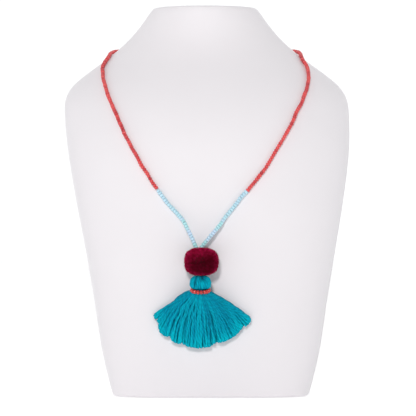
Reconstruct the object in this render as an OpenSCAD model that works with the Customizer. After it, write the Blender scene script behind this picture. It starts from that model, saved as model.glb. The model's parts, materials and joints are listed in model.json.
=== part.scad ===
// Tassel necklace on a neck bust: a loop of seed bead strings that hangs round
// a white bust, closed by a barrel clasp at the nape. At its lowest point it
// carries a pompom, and under that a yarn tassel whose neck is tied with a ring
// of beads.
// X runs to the right, Y away from the viewer and Z up. The origin is at the
// middle of the bust's base. All lengths are in millimetres.

/* [Bust] */
// Height of the bust
bust_h = 300; // [275:5:340]
// Width of the bust at its shoulders
shoulder_w = 220; // [190:1:250]
// How far the chest comes forward of the base's middle
chest_reach = 66; // [56:1:76]
// How far the back reaches behind the base's middle
back_reach = 54; // [46:1:64]
// How far the top leans to the left
bust_lean = 4.4; // [0:0.2:8]
// Radius of the rolled edges at the base and at the top of the neck
bust_edge_r = 3; // [1.5:0.5:5]

/* [Bead strings] */
// Diameter of a seed bead on the strings
bead_d = 3; // [2.4:0.1:3.6]
// Clear space between neighbouring pieces, and between a string and the bust
gap = 0.3; // [0.25:0.05:0.5]
// Height of the pompom's top below the place where the strings cross the shoulders
drop = 147.5; // [135:0.5:160]
// Length of the pale blue stretch at the lower end of each string
blue_l = 55; // [30:1:80]
// Distance between the two strings where they enter the pompom
string_spread = 5.2; // [4.5:0.1:8]
// Side shift of the strings' lower ends from the pendant's plumb line
string_shift = -1; // [-3:0.1:3]
// Length of the barrel clasp
clasp_l = 11; // [8:0.5:16]
// Diameter of the barrel clasp
clasp_d = 4.4; // [3.8:0.2:6]

/* [Pompom] */
// Width of the pompom
pompom_w = 26; // [22:0.5:32]
// Height of the pompom
pompom_h = 22; // [18:0.5:26]
// Depth of the pompom
pompom_deep = 24; // [20:0.5:30]
// Side shift of the pompom from the pendant's plumb line
pompom_shift = 1; // [-3:0.2:3]
// Number of yarn tufts on the pompom
tufts = 72; // [60:2:110]

/* [Tassel] */
// Side shift of the pendant's plumb line from the base's middle
pendant_x = -7.8; // [-12:0.2:4]
// Width of the tassel's head
head_w = 15.8; // [14:0.2:18]
// Height of the tassel's head
head_h = 8.4; // [6:0.2:12]
// Diameter of the neck that the ring of beads ties
neck_d = 9.2; // [7:0.2:11]
// Diameter of a bead in the ring
ring_bead_d = 3.2; // [2.6:0.1:3.8]
// How far the ring of beads dips towards the front, in degrees
ring_tilt = 12; // [0:0.5:15]
// Length of the skirt from the ring to the cut ends
skirt_l = 44; // [34:1:50]
// Angle of the outermost locks from straight down, in degrees
fan_angle = 62; // [45:1:66]
// Depth of the skirt at the middle of its hem
skirt_deep = 12; // [9:0.5:16]

/* [Hidden] */

// Sections of the bust from the base up. The columns are the height as a share
// of bust_h, the half width as a share of shoulder_w / 2, the front as a share
// of chest_reach, the back as a share of back_reach, how square the front and
// the back are, where 2 is an ellipse, and the lean as a share of bust_lean.
BUST_ROWS = [
    [0.00, 0.685, 0.80, 0.93, 5.0, 5.0, 0.00],
    [0.115, 0.76, 0.88, 0.93, 4.2, 4.5, 0.00],
    [0.245, 0.815, 0.95, 0.92, 3.4, 4.0, 0.02],
    [0.40, 0.887, 0.99, 0.92, 2.8, 3.5, 0.08],
    [0.50, 0.936, 1.00, 0.93, 2.6, 3.2, 0.20],
    [0.63, 0.987, 0.94, 0.96, 2.5, 2.9, 0.40],
    [0.715, 1.00, 0.83, 1.00, 2.4, 2.6, 0.68],
    [0.76, 0.997, 0.73, 1.02, 2.35, 2.5, 0.80],
    [0.785, 0.968, 0.67, 1.02, 2.25, 2.35, 0.85],
    [0.81, 0.903, 0.60, 1.02, 2.2, 2.3, 0.88],
    [0.84, 0.785, 0.51, 1.02, 2.15, 2.2, 0.90],
    [0.875, 0.66, 0.42, 1.01, 2.1, 2.1, 0.93],
    [0.915, 0.537, 0.355, 1.00, 2.0, 2.0, 0.96],
    [0.955, 0.448, 0.325, 0.99, 2.0, 2.0, 0.98],
    [1.00, 0.365, 0.31, 0.98, 2.0, 2.0, 1.00]
];
// Sides of the bust, rings up its body and rings round each rolled edge
BUST_SIDES = 48;
BUST_RINGS = 30;
EDGE_RINGS = 2;

// The routes of the two strings from the clasp to the pompom. The columns are
// the turn round the bust in degrees, where 0 is the middle of the back, 90 the
// side and 180 the middle of the chest, then how far the string has come down
// from the shoulder as a share of drop, and how far it stands off the chest as
// a share of the pendant's own distance from it.
LEFT_ROUTE = [
    [22, -0.03, 0], [45, -0.026, 0], [62, -0.022, 0], [76, -0.017, 0], [88, -0.008, 0],
    [98, 0.004, 0], [106, 0.02, 0], [111, 0.04, 0], [116.5, 0.068, 0], [124, 0.1, 0], [133, 0.15, 0],
    [138, 0.2, 0], [141, 0.25, 0], [143, 0.3, 0], [146.5, 0.4, 0], [150, 0.5, 0],
    [154, 0.6, 0], [156, 0.65, 0], [158.5, 0.7, 0], [161, 0.75, 0], [164, 0.8, 0.04],
    [167.5, 0.85, 0.14], [170, 0.9, 0.32], [171.5, 0.94, 0.5]
];
RIGHT_ROUTE = [
    [22, -0.03, 0], [45, -0.026, 0], [62, -0.022, 0], [76, -0.017, 0], [88, -0.009, 0],
    [98, 0.002, 0], [107, 0.017, 0], [113.5, 0.038, 0], [118.5, 0.068, 0], [124.5, 0.1, 0], [132.5, 0.15, 0],
    [137.5, 0.2, 0], [141, 0.25, 0], [143.5, 0.3, 0], [148, 0.4, 0], [153, 0.5, 0],
    [157.5, 0.6, 0], [160.5, 0.65, 0], [163.5, 0.7, 0], [167, 0.75, 0], [170, 0.8, 0.04],
    [173.5, 0.85, 0.14], [176.5, 0.9, 0.32], [179.5, 0.94, 0.5]
];
// Where the strings cross the shoulders, as a share of bust_h
RIDGE = 0.875;
// How far the strings' lower ends stand off the chest, as a share of the
// pendant's own distance from it
END_LIFT = 0.78;
// How much lower than its middle the slanting end of a string reaches, as a
// share of bead_d
END_TILT = 0.1;
// Straight start of a string beside the clasp, in bead diameters
STRAIGHT = 2;
// Sides of a string
STRING_SIDES = 8;
// Distance between the rings of a string, in bead diameters
RING_STEP = 2.4;
// Steps that the curve between two points of a route is divided into
ROUTE_STEPS = 6;
// What a straight stretch between two rings of a string cuts off the curve of
// the bust, as a share of bead_d
CUT_OFF = 0.1;
string_off = gap + CUT_OFF * bead_d;

ridge_z = RIDGE * bust_h;
pompom_top = ridge_z - drop;
pompom_z = pompom_top - pompom_h / 2;
pompom_x = pendant_x + pompom_shift;
// The pompom rests against the chest, and the tassel hangs plumb below it
pendant_y = chest_y(pompom_x, pompom_z) - gap - pompom_deep / 2;
// Roundness of the pompom, where 2 is an ellipsoid
POMPOM_POWER = 2.7;
// Size of the pompom's core as a share of the pompom, its sides and rings, and
// the latitude of its last ring in degrees
CORE = 0.96;
CORE_SIDES = 20;
CORE_RINGS = 10;
CORE_END = 84;
// Radius of a tuft at its root and at its tip, as shares of pompom_h
TUFT_ROOT = 0.13;
TUFT_TIP = 0.045;
// Turn between one tuft and the next that spreads them evenly over a ball
GOLDEN_TURN = 137.508;

head_top = pompom_top - pompom_h - gap;
head_bottom = head_top - head_h;
ring_r = neck_d / 2 + gap + ring_bead_d / 2;
// Height from the ring's middle to the head above it and to the skirt below
ring_space = (ring_bead_d / 2 + gap) / cos(ring_tilt);
ring_z = head_bottom - ring_space;
skirt_top = ring_z - ring_space;

// Outline of the tassel's head from its crown down, with the height as a share
// of head_h and the radius as a share of head_w / 2
HEAD_ROWS = [[0, 0.62], [0.06, 0.78], [0.2, 0.93], [0.45, 1], [0.72, 0.98], [0.92, 0.86], [1, 0.68]];
// Depth of the head as a share of its width, and of its grooves as a share of
// its radius
HEAD_FLAT = 0.86;
GROOVE = 0.12;

// Locks of the skirt from the left to the right, with the angle as a share of
// fan_angle and the length as a share of skirt_l
LOCKS = [
    [-0.95, 0.93], [-0.71, 1], [-0.56, 1.01], [-0.37, 1], [-0.17, 0.99], [-0.03, 0.99], [0.1, 1],
    [0.21, 0.97], [0.34, 0.98], [0.49, 0.99], [0.63, 1], [0.77, 1], [0.94, 0.99]
];
// Rings of the skirt from its root to the cut ends, with the way along the
// locks and their depth, each as a share
SKIRT_ROWS = [[0.12, 1], [0.28, 1], [0.46, 1], [0.64, 1], [0.8, 1], [0.92, 1], [1, 0.6]];
// Points that each lock has across its front and across its back
LOCK_POINTS = 4;
TASSEL_SIDES = 2 * LOCK_POINTS * len(LOCKS);
// How much further out than its tip a lock sets off, and how long it keeps that
// way as a share of skirt_l
ARCH = 1.25;
BEND = 0.35;
// How far the notches between the locks reach up, as a share of their length
NOTCH = 0.04;
// Depth of the skirt between two locks as a share of its depth at a lock
VALLEY = 0.72;
// How much thinner the fan gets towards its sides
THIN = 0.4;
// How far the outermost locks reach past their middle, as a share of fan_angle
// for a lock's full width
RIM = 0.1;
// How soon the locks lie at their full depth, where 1 is at the cut ends
SETTLE = 1.12;
// Length of the locks at the back as a share of those in front
BACK_LOCKS = 0.97;

// Slope of a column of the bust's table at row i
function row_slope(i, c) =
    let (a = BUST_ROWS[max(i - 1, 0)], b = BUST_ROWS[min(i + 1, len(BUST_ROWS) - 1)])
    (b[c] - a[c]) / (b[0] - a[0]);

// Value of a column of the bust's table at a share h of the height
function bust_share(c, h) =
    let (
        i = max([for (k = [0:len(BUST_ROWS) - 2]) if (k == 0 || BUST_ROWS[k][0] <= h) k]),
        a = BUST_ROWS[i],
        b = BUST_ROWS[i + 1],
        step = b[0] - a[0],
        t = (h - a[0]) / step
    )
    (2 * pow(t, 3) - 3 * pow(t, 2) + 1) * a[c] + (pow(t, 3) - 2 * pow(t, 2) + t) * step * row_slope(i, c)
    + (3 * pow(t, 2) - 2 * pow(t, 3)) * b[c] + (pow(t, 3) - pow(t, 2)) * step * row_slope(i + 1, c);

// Half width, middle, half depth, front and back squareness and lean at height z
function bust_section(z) =
    let (
        h = z / bust_h,
        front = bust_share(2, h) * chest_reach,
        back = bust_share(3, h) * back_reach
    )
    [bust_share(1, h) * shoulder_w / 2, (back - front) / 2, (back + front) / 2,
     bust_share(4, h), bust_share(5, h), -bust_lean * bust_share(6, h)];

// Point of a section, pulled in by inset, on the left (side -1) or right (side 1)
function section_point(s, side, turn, z, inset = 0) =
    let (
        n = cos(turn) > 0 ? s[4] : s[3],
        r = pow(pow(abs(cos(turn)), n) + pow(abs(sin(turn)), n), -1 / n)
    )
    [s[5] + side * (s[0] - inset) * r * sin(turn), s[1] + (s[2] - inset) * r * cos(turn), z];

function bust_point(side, turn, z) = section_point(bust_section(z), side, turn, z);

// Direction straight out of the bust's surface
function bust_out(side, turn, z) =
    let (
        around = bust_point(side, turn + 0.5, z) - bust_point(side, turn - 0.5, z),
        up = bust_point(side, turn, z + 0.5) - bust_point(side, turn, z - 0.5)
    )
    side * unit(cross(up, around));

// Y of the chest's surface at a given x and z
function chest_y(x, z) =
    let (s = bust_section(z))
    s[1] - s[2] * pow(1 - pow(abs(x - s[5]) / s[0], s[3]), 1 / s[3]);

function unit(v) = v / norm(v);

function mix(a, b, t) = a + (b - a) * t;

// Faces of a solid lofted through rings of points that turn to the left along
// it. Its ends are flat, or the last ring is stitched shut between its halves.
function loft_faces(rings, sides, stitched) =
    let (last = (rings - 1) * sides, half = sides / 2)
    concat(
        [[for (j = [0:sides - 1]) j]],
        [for (i = [0:rings - 2], j = [0:sides - 1], k = [0, 1])
            let (a = i * sides + j, b = i * sides + (j + 1) % sides)
            k == 0 ? [b + sides, b, a] : [a + sides, b + sides, a]],
        stitched
            ? concat(
                [[last + sides - 1, last + 1, last], [last + half + 1, last + half, last + half - 1]],
                [for (j = [1:half - 2], k = [0, 1])
                    k == 0 ? [last + sides - j, last + sides - j - 1, last + j + 1]
                           : [last + sides - j, last + j + 1, last + j]])
            : [[for (j = [sides - 1:-1:0]) last + j]]
    );

// Solid through a list of rings, each a list of points
module loft(rings, stitched = false) {
    sides = len(rings[0]);
    polyhedron([for (ring = rings) each ring], loft_faces(len(rings), sides, stitched));
}

// Catmull-Rom curve through a list of points
function curve(p) = concat(
    [for (i = [0:len(p) - 2], k = [0:ROUTE_STEPS - 1])
        let (
            t = k / ROUTE_STEPS,
            m0 = (p[i + 1] - p[max(i - 1, 0)]) / 2,
            m1 = (p[min(i + 2, len(p) - 1)] - p[i]) / 2
        )
        (2 * pow(t, 3) - 3 * pow(t, 2) + 1) * p[i] + (pow(t, 3) - 2 * pow(t, 2) + t) * m0
        + (3 * pow(t, 2) - 2 * pow(t, 3)) * p[i + 1] + (pow(t, 3) - pow(t, 2)) * m1],
    [p[len(p) - 1]]
);

// Distance along a line of points at each of them
function miles(p) = [
    for (i = 0, s = 0; i < len(p); i = i + 1, s = i < len(p) ? s + norm(p[i] - p[i - 1]) : s) s
];

// Point at distance s along the line p, whose distances are m
function point_at(p, m, s) =
    let (i = max([for (k = [0:len(p) - 2]) if (k == 0 || m[k] <= s) k]))
    mix(p[i], p[i + 1], (s - m[i]) / (m[i + 1] - m[i]));

// Middle line of a string from the clasp's end to the pompom's top
function string_line(side) = curve(concat(
    [for (out = [0, STRAIGHT * bead_d]) clasp_mid() + [side * (clasp_l / 2 + gap + out), 0, 0]],
    [for (row = side < 0 ? LEFT_ROUTE : RIGHT_ROUTE)
        let (z = ridge_z - row[1] * drop, p = bust_point(side, row[0], z))
        p + bust_out(side, row[0], z) * (bead_d / 2 + string_off)
        + [0, row[2] * (pendant_y - chest_y(pompom_x, pompom_z)), 0]],
    [string_end(side)]
));

// Lower end of a string, just over the pompom
function string_end(side) =
    let (
        x = pendant_x + string_shift + side * string_spread / 2,
        y = mix(chest_y(pompom_x, pompom_z), pendant_y, END_LIFT),
        wide = pow(abs(x - pompom_x) * 2 / pompom_w, POMPOM_POWER),
        deep = pow(abs(y - pendant_y) * 2 / pompom_deep, POMPOM_POWER)
    )
    [x, y, pompom_z + pompom_h / 2 * pow(1 - wide - deep, 1 / POMPOM_POWER) + gap + END_TILT * bead_d];

// Middle of the clasp, against the back of the neck
function clasp_mid() =
    let (z = ridge_z - LEFT_ROUTE[0][1] * drop, p = bust_point(1, 0, z))
    p + bust_out(1, 0, z) * (clasp_d / 2 + string_off);

// Tube of bead strings along a middle line, from distance a to distance b
module bead_string(line, a, b) {
    m = miles(line);
    count = ceil((b - a) / (RING_STEP * bead_d));
    mid = [for (i = [0:count]) point_at(line, m, mix(a, b, i / count))];
    loft([for (i = [0:count])
        let (
            along = unit(mid[min(i + 1, count)] - mid[max(i - 1, 0)]),
            across = unit(cross(along, [mid[i][0], mid[i][1], 0])),
            out = cross(across, along)
        )
        [for (j = [0:STRING_SIDES - 1])
            let (turn = j * 360 / STRING_SIDES)
            mid[i] + bead_d / 2 * (cos(turn) * out + sin(turn) * across)]]);
}

module neck_bust() {
    inset = [for (i = [0:EDGE_RINGS]) bust_edge_r * (1 - sin(90 * i / EDGE_RINGS))];
    rise = [for (i = [0:EDGE_RINGS]) bust_edge_r * (1 - cos(90 * i / EDGE_RINGS))];
    body = [for (i = [1:BUST_RINGS - 1]) mix(bust_edge_r, bust_h - bust_edge_r, i / BUST_RINGS)];
    heights = concat(
        [for (i = [0:EDGE_RINGS]) [rise[i], inset[i]]],
        [for (z = body) [z, 0]],
        [for (i = [EDGE_RINGS:-1:0]) [bust_h - rise[i], inset[i]]]
    );
    color("whitesmoke")
        loft([for (h = heights)
            let (s = bust_section(h[0]))
            [for (j = [0:BUST_SIDES - 1]) section_point(s, 1, -j * 360 / BUST_SIDES, h[0], h[1])]]);
}

module red_beads() {
    color("indianred")
        for (side = [-1, 1]) {
            line = string_line(side);
            m = miles(line);
            bead_string(line, 0, m[len(m) - 1] - blue_l - gap);
        }
}

module blue_beads() {
    color("paleturquoise")
        for (side = [-1, 1]) {
            line = string_line(side);
            m = miles(line);
            bead_string(line, m[len(m) - 1] - blue_l, m[len(m) - 1]);
        }
}

module clasp() {
    bevel = clasp_d / 6;
    end_r = clasp_d / 2 - bevel;
    color("silver")
        translate(clasp_mid())
            rotate([0, 90, 0])
                rotate_extrude($fn = 48)
                    polygon([
                        [0, -clasp_l / 2], [end_r, -clasp_l / 2], [clasp_d / 2, -clasp_l / 2 + bevel],
                        [clasp_d / 2, clasp_l / 2 - bevel], [end_r, clasp_l / 2], [0, clasp_l / 2]
                    ]);
}

// Distance from the pompom's middle to its surface in direction d
function pompom_reach(d) =
    pow(pow(abs(d[0]) * 2 / pompom_w, POMPOM_POWER) + pow(abs(d[1]) * 2 / pompom_deep, POMPOM_POWER)
        + pow(abs(d[2]) * 2 / pompom_h, POMPOM_POWER), -1 / POMPOM_POWER);

// Direction of tuft i, spaced evenly over a ball
function tuft_way(i) =
    let (up = 1 - (2 * i + 1) / tufts, turn = i * GOLDEN_TURN, flat = sqrt(1 - up * up))
    [flat * cos(turn), flat * sin(turn), up];

module pompom() {
    root_r = TUFT_ROOT * pompom_h;
    tip_r = TUFT_TIP * pompom_h;
    color([0.42, 0.02, 0.12])
        translate([pompom_x, pendant_y, pompom_z]) {
            loft([for (i = [0:CORE_RINGS])
                let (up = mix(-CORE_END, CORE_END, i / CORE_RINGS))
                [for (j = [0:CORE_SIDES - 1])
                    let (
                        turn = 360 * j / CORE_SIDES,
                        d = [cos(up) * cos(turn), cos(up) * sin(turn), sin(up)]
                    )
                    d * pompom_reach(d) * CORE]]);
            for (i = [0:tufts - 1]) {
                d = tuft_way(i);
                reach = pompom_reach(d);
                hull() {
                    translate(d * (reach * CORE - root_r))
                        sphere(root_r, $fn = 5);
                    translate(d * (reach - tip_r))
                        sphere(tip_r, $fn = 4);
                }
            }
        }
}

// Way across the fan of point j of a ring, from 0 at its left edge to the number
// of locks at its right edge. The first half of a ring is the back.
function lock_place(j) = min(j, TASSEL_SIDES - j) / LOCK_POINTS;

// How near point j is to the middle of its lock, from 0 at a notch to 1
function crest(j) = 1 - abs(2 * (j % LOCK_POINTS) / LOCK_POINTS - 1);

// Angle and length shares of the fan at a place across it
function lock_row(v) =
    let (w = min(max(v - 0.5, 0), len(LOCKS) - 1), i = min(floor(w), len(LOCKS) - 2))
    mix(LOCKS[i], LOCKS[i + 1], w - i) + [(v - 0.5 - w) * RIM, 0];

// Point j of the head's ring at a share of its height, which dips as the ring of
// beads does at the neck
function head_point(j, share, r) =
    let (turn = 180 - 360 * j / TASSEL_SIDES, y = r * HEAD_FLAT * sin(turn))
    [r * cos(turn), y, head_top - share * (head_h - y * tan(ring_tilt))];

function neck_point(j, z) =
    let (turn = 180 - 360 * j / TASSEL_SIDES, y = neck_d / 2 * sin(turn))
    [neck_d / 2 * cos(turn), y, z + y * tan(ring_tilt)];

// Point j of the skirt's ring at a share t of the way down its locks
function skirt_point(j, t, depth) =
    let (
        row = lock_row(lock_place(j)),
        side = j == 0 || j == TASSEL_SIDES / 2 ? 0 : j < TASSEL_SIDES / 2 ? 1 : -1,
        angle = row[0] * fan_angle,
        reach = row[1] * skirt_l * (1 - NOTCH * pow(1 - crest(j), 2)) * (side > 0 ? BACK_LOCKS : 1),
        root = neck_point(j, skirt_top),
        start = [root[0], root[2]],
        bend = start + BEND * skirt_l * [sin(ARCH * angle), -cos(ARCH * angle)],
        tip = [reach * sin(angle), ring_z - reach * cos(angle)],
        half = skirt_deep / 2 * (1 - THIN * row[0] * row[0]),
        way = (1 - t) * (1 - t) * start + 2 * t * (1 - t) * bend + t * t * tip,
        settled_y = chest_y(pendant_x + way[0], way[1]) - pendant_y - gap - half
            + side * half * depth * mix(VALLEY, 1, crest(j))
    )
    [way[0], mix(root[1], settled_y, min(t * SETTLE, 1)), way[1]];

module tassel() {
    points = [0:TASSEL_SIDES - 1];
    color([0.05, 0.62, 0.7])
        translate([pendant_x, pendant_y, 0])
            loft(concat(
                [for (row = HEAD_ROWS)
                    [for (j = points)
                        head_point(j, row[0], row[1] * head_w / 2 * mix(1 - GROOVE, 1, crest(j)))]],
                [for (z = [head_bottom, skirt_top]) [for (j = points) neck_point(j, z)]],
                [for (row = SKIRT_ROWS) [for (j = points) skirt_point(j, row[0], row[1])]]
            ), stitched = true);
}

module bead_ring() {
    color("tomato")
        translate([pendant_x, pendant_y, ring_z])
            rotate([ring_tilt, 0, 0])
                rotate_extrude($fn = 48)
                    translate([ring_r, 0])
                        circle(d = ring_bead_d, $fn = 24);
}

neck_bust();
red_beads();
blue_beads();
clasp();
pompom();
tassel();
bead_ring();
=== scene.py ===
"""A seed bead necklace with a yarn pompom and a fanned yarn tassel, on a white neck bust.

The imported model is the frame. Sizes are in metres, the small ones written as
millimetres times MM. X runs to the right, Y away from the viewer and Z up.
"""

import json
import math
import random

import bmesh
import bpy
from mathutils import Matrix, Vector, noise
from mathutils.bvhtree import BVHTree

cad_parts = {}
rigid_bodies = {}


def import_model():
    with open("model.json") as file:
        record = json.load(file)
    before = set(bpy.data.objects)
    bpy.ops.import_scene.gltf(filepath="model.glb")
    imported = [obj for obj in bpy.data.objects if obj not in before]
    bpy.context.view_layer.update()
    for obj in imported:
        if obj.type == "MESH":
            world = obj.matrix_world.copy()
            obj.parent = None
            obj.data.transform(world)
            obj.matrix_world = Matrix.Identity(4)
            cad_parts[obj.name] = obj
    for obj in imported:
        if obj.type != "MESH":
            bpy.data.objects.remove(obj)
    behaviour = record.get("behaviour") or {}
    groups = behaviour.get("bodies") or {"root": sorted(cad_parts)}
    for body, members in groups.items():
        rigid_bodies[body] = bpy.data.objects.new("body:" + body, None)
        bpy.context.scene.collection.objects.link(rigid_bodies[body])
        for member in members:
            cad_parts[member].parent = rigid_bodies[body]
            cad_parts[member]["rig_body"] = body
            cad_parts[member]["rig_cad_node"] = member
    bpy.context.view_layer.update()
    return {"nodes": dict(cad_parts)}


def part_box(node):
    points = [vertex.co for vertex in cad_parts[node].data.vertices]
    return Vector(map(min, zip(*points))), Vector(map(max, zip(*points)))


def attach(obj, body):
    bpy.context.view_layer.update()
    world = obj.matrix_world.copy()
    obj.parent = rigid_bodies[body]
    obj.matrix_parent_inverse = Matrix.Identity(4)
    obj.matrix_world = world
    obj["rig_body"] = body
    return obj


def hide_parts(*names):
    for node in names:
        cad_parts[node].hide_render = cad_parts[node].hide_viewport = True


MM = 0.001

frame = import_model()
nodes = frame["nodes"]

# Camera
# It stands level with the chest, 2.4 m in front of the bust and a little to the
# left of its middle, with a long lens.
CAMERA_AWAY = 2400 * MM
CAMERA_X = -2.1 * MM
CAMERA_Z = 144 * MM
VIEW_WIDTH = 321.6 * MM
SENSOR_WIDTH = 36
LEVEL = (math.radians(90), 0, 0)
bpy.ops.object.camera_add(location=(CAMERA_X, -CAMERA_AWAY, CAMERA_Z), rotation=LEVEL)
camera = bpy.context.object
camera.name = "camera"
camera.data.sensor_width = SENSOR_WIDTH
camera.data.lens = SENSOR_WIDTH * CAMERA_AWAY / VIEW_WIDTH
bpy.context.scene.camera = camera

# Neck bust
# A hollow shell moulded in one piece from white plastic, with rolled edges at
# the base and at the top of the neck. Its skin is sprayed matt, with a very fine
# grain and faint clouds of a darker white.
BUST_WHITE = (0.86, 0.832, 0.86)
BUST_SHADE = (0.81, 0.78, 0.81)
BUST_LEVELS = 2
# Corners that lie closer together than this are merged
WELD = 0.02 * MM
QUAD_ANGLE = math.radians(60)


def only(piece):
    """Leaves this one object selected and active."""
    bpy.ops.object.select_all(action="DESELECT")
    piece.select_set(True)
    bpy.context.view_layer.objects.active = piece


def copy_of(node, name):
    """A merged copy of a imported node, to be dressed in its place."""
    piece = nodes[node].copy()
    piece.data = nodes[node].data.copy()
    piece.name = name
    piece.data.name = name
    piece.parent = None
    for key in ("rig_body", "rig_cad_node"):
        del piece[key]
    bpy.context.collection.objects.link(piece)
    only(piece)
    bpy.ops.object.mode_set(mode="EDIT")
    bpy.ops.mesh.select_all(action="SELECT")
    bpy.ops.mesh.remove_doubles(threshold=WELD)
    bpy.ops.mesh.tris_convert_to_quads(face_threshold=QUAD_ANGLE, shape_threshold=QUAD_ANGLE)
    bpy.ops.object.mode_set(mode="OBJECT")
    return piece


def feed(tree, shader, inputs):
    """Gives inputs of a shader node their values, or links from the outputs that feed them."""
    for name, value in inputs.items():
        if isinstance(value, bpy.types.NodeSocket):
            tree.links.new(value, shader.inputs[name])
        else:
            shader.inputs[name].default_value = value


def surface(material, inputs):
    """Feeds the surface shader of a material."""
    feed(material.node_tree, material.node_tree.nodes["Principled BSDF"], inputs)


def add(tree, kind, inputs=None, **settings):
    """A new shader node with its settings and inputs."""
    shader = tree.nodes.new(kind)
    for name, value in settings.items():
        setattr(shader, name, value)
    feed(tree, shader, inputs or {})
    return shader


def mixed(tree, share, first, second, **settings):
    """A mix of two colours."""
    inputs = {"Factor": share, "A": first, "B": second}
    return add(tree, "ShaderNodeMix", inputs, data_type="RGBA", **settings).outputs["Result"]


def new_group(name, takes, gives):
    """A shader group and its two ends. What it takes and gives are kinds of socket by their names."""
    group = bpy.data.node_groups.new(name, "ShaderNodeTree")
    for in_out, sockets in (("INPUT", takes), ("OUTPUT", gives)):
        for socket, kind in sockets.items():
            group.interface.new_socket(socket, in_out=in_out, socket_type=kind)
    return group, add(group, "NodeGroupInput").outputs, add(group, "NodeGroupOutput")


def new_material(name, colour, roughness, metallic=0):
    """A plain material, whose surface is worked out further where it is used."""
    material = bpy.data.materials.new(name)
    material.use_nodes = True
    surface(material, {"Base Color": (*colour, 1), "Roughness": roughness, "Metallic": metallic})
    return material


# Shader group of what is uneven all over a surface: specks or clouds from 0 to 1
uneven, given, put = new_group(
    "uneven", {"Scale": "NodeSocketFloat", "Detail": "NodeSocketFloat"}, {"Amount": "NodeSocketFloat"}
)
place = add(uneven, "ShaderNodeTexCoord")
specks = {"Vector": place.outputs["Object"], "Scale": given["Scale"], "Detail": given["Detail"]}
feed(uneven, put, {"Amount": add(uneven, "ShaderNodeTexNoise", specks).outputs["Fac"]})


def unevenness(tree, scale, detail=2):
    """Specks or clouds in a material. The greater their scale, the finer they are."""
    inputs = {"Scale": scale, "Detail": detail}
    return add(tree, "ShaderNodeGroup", inputs, node_tree=uneven).outputs["Amount"]


def dent(material, scale, depth, strength=0.3):
    """Covers a material with fine dents."""
    tree = material.node_tree
    inputs = {"Height": unevenness(tree, scale), "Distance": depth, "Strength": strength}
    surface(material, {"Normal": add(tree, "ShaderNodeBump", inputs).outputs["Normal"]})


def wear(piece, material, slot, *replaced):
    """Gives a finished piece its material and its place on the body. The slot is not used."""
    piece.data.materials.clear()
    piece.data.materials.append(material)
    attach(piece, "root")
    if replaced:
        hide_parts(*replaced)


bust = copy_of("neck_bust", "white_bust")
bust_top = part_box("neck_bust")[1].z
shape = bmesh.new()
shape.from_mesh(bust.data)
caps = [f for f in shape.faces if abs(f.normal.z) > 0.99 and f.calc_center_median().z in (0, bust_top)]
bmesh.ops.dissolve_faces(shape, faces=caps)
shape.to_mesh(bust.data)
shape.free()
only(bust)
smooth = bust.modifiers.new("smooth", "SUBSURF")
smooth.levels = smooth.render_levels = BUST_LEVELS
bpy.ops.object.modifier_apply(modifier="smooth")
bpy.ops.object.shade_smooth()

bust_skin = new_material("bust_skin", BUST_WHITE, 0.62)
tree = bust_skin.node_tree
clouds = {"Value": unevenness(tree, 14, 4), "From Min": 0.35, "From Max": 0.75, "To Max": 0.35}
cloudy = add(tree, "ShaderNodeMapRange", clouds).outputs["Result"]
tint = mixed(tree, cloudy, (*BUST_WHITE, 1), (*BUST_SHADE, 1))
surface(bust_skin, {"Base Color": tint, "Sheen Weight": 0.3, "Sheen Roughness": 0.35})
dent(bust_skin, 1800, 0.1 * MM, strength=0.12)
wear(bust, bust_skin, "bust_shell", "neck_bust")

# Thread
# One white nylon thread on each side runs from the clasp through all the beads
# into the pompom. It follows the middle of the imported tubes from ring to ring,
# and what lies on the bust is let down until the beads all but touch it.
TUBE_SIDES = 8
THREAD_R = 0.35 * MM
THREAD_WHITE = (0.82, 0.80, 0.80)
LINE_STEP = 0.5 * MM
BEAD_R = 1.55 * MM
REST = 0.2 * MM
# Nearer to the bust than LYING a line lies on it, and further off than HANGING it hangs
LYING = 3 * MM
HANGING = 5 * MM
# How far a line sways to each side, the length of one sway, and the stretch from
# the clasp on in which it begins to
SWAY = 0.5 * MM
SWAY_L = 9 * MM
SWAY_FROM = 20 * MM
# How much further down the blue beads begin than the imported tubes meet
BLUE_LATER = {-1: 2.2 * MM, 1: 0.8 * MM}
# Where the ends of the two blue tubes part, along X from the tassel's middle
ENDS_SHIFT = -1 * MM
INTO_POMPOM = 3 * MM
INTO_CLASP = 3 * MM


def ring_middles(node, side, parting, first):
    """Middles of a packed tube's rings on one side of x = parting, from the point that comes first."""
    points = [v.co for v in nodes[node].data.vertices if side * (v.co.x - parting) > 0]
    left = [Vector(p) for p in sorted({tuple(round(c, 7) for c in point) for point in points})]
    here = min(left, key=first)
    middles = []
    while len(left) >= TUBE_SIDES:
        left.sort(key=lambda p: (p - here).length)
        ring, left = left[:TUBE_SIDES], left[TUBE_SIDES:]
        here = sum(ring, Vector()) / TUBE_SIDES
        middles.append(here)
    return middles


def smooth_line(points):
    """Catmull-Rom curve through the points, with a point about every LINE_STEP."""
    line = []
    for i in range(len(points) - 1):
        a, b = points[i], points[i + 1]
        slope_a = (b - points[max(i - 1, 0)]) / 2
        slope_b = (points[min(i + 2, len(points) - 1)] - a) / 2
        steps = max(2, round((b - a).length / LINE_STEP))
        for k in range(steps):
            t = k / steps
            line.append(
                (2 * t**3 - 3 * t**2 + 1) * a
                + (t**3 - 2 * t**2 + t) * slope_a
                + (3 * t**2 - 2 * t**3) * b
                + (t**3 - t**2) * slope_b
            )
    return line + [points[-1]]


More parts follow.
